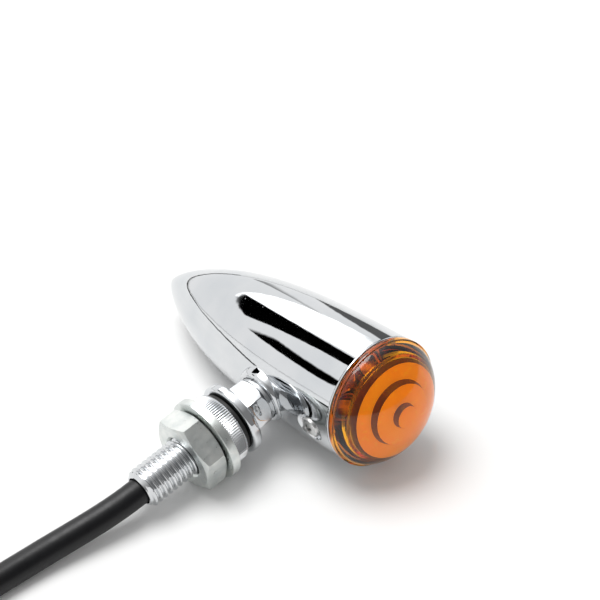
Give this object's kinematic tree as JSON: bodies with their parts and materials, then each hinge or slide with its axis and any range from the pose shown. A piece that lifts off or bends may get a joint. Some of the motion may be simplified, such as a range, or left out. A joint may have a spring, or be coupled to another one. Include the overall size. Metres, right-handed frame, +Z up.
{
  "type": "turn signal",
  "caption": "Bullet turn signal: chrome housing, amber domed lens, threaded hollow stud with nut and washer, and a cable.",
  "frame": {"origin": "on the surface that the lamp lies on, under the middle of its box without the cable", "axes": "+X along the bullet towards the lens as seen from above, +Y away from the stud, +Z up from the surface. The lamp lies as it is put down: tail 6 degrees low and stud sloping 9 degrees down."},
  "size_m": [0.1158, 0.1853, 0.0342],
  "materials": {
    "chrome": "polished chrome plate",
    "zinc": "dull zinc plate",
    "steel": "bright steel",
    "brass": "satin brass",
    "tin": "tinned",
    "amber": "clear amber plastic",
    "clear_glass": "clear glass",
    "black_plastic": "black moulded",
    "black_vinyl": "soft black vinyl",
    "phenolic": "brown phenolic sheet"
  },
  "bodies": {
    "mount_stud": {"threaded_stud": "chrome", "swivel_washer": "black_plastic", "retaining_ring": "steel", "cable_lead": "black_vinyl", "cable_coil": "black_vinyl", "signal_tail": "black_vinyl", "ground_tail": "black_vinyl", "signal_strands": "tin", "ground_strands": "tin"},
    "lamp_head": {"housing_shell": "chrome", "neck_fitting": "chrome", "lens": "amber", "lens_seal": "black_plastic", "socket_shell": "steel", "socket_plate": "steel", "plate_screw_upper": "steel", "plate_screw_lower": "steel", "ground_terminal": "tin", "contact_carrier": "phenolic", "contact_spring": "steel", "centre_contact": "brass", "power_wire": "black_vinyl", "ground_wire": "black_vinyl"},
    "washer": {"flat_washer": "zinc"},
    "nut": {"hex_nut": "zinc"},
    "retaining_screw": {"lens_screw": "steel"},
    "bulb": {"bulb_glass": "clear_glass", "bulb_filament": "steel", "bulb_base": "brass", "bulb_insulator": "black_plastic", "bulb_tip_contact": "tin"}
  },
  "joints": [
    {"name": "head_swivel", "type": "hinge", "parent": "mount_stud", "child": "lamp_head", "pos_m": [0.00846, 0.01859, 0.01566], "axis": [0.0166, -0.9873, -0.1581], "range_deg": [-90, 90]},
    {"name": "washer_slide", "type": "slide", "parent": "mount_stud", "child": "washer", "axis": [0.0166, -0.9873, -0.1581], "range_m": [0, 0.0091]},
    {"name": "nut_spin", "type": "hinge", "parent": "washer", "child": "nut", "pos_m": [0.00846, 0.01859, 0.01566], "axis": [0.0166, -0.9873, -0.1581], "range_deg": [0, 2160]},
    {"name": "lens_screw_out", "type": "slide", "parent": "lamp_head", "child": "retaining_screw", "axis": [0.0166, -0.9873, -0.1581], "range_m": [0, 0.008]},
    {"name": "bulb_twist", "type": "hinge", "parent": "lamp_head", "child": "bulb", "pos_m": [0.03298, 0.01859, 0.01824], "axis": [0.9945, 0, 0.1045], "range_deg": [0, 50]}
  ],
  "couplings": [
    {"joint": "washer_slide", "follows": "nut_spin", "m_per_rad": 0.00023873}
  ]
}
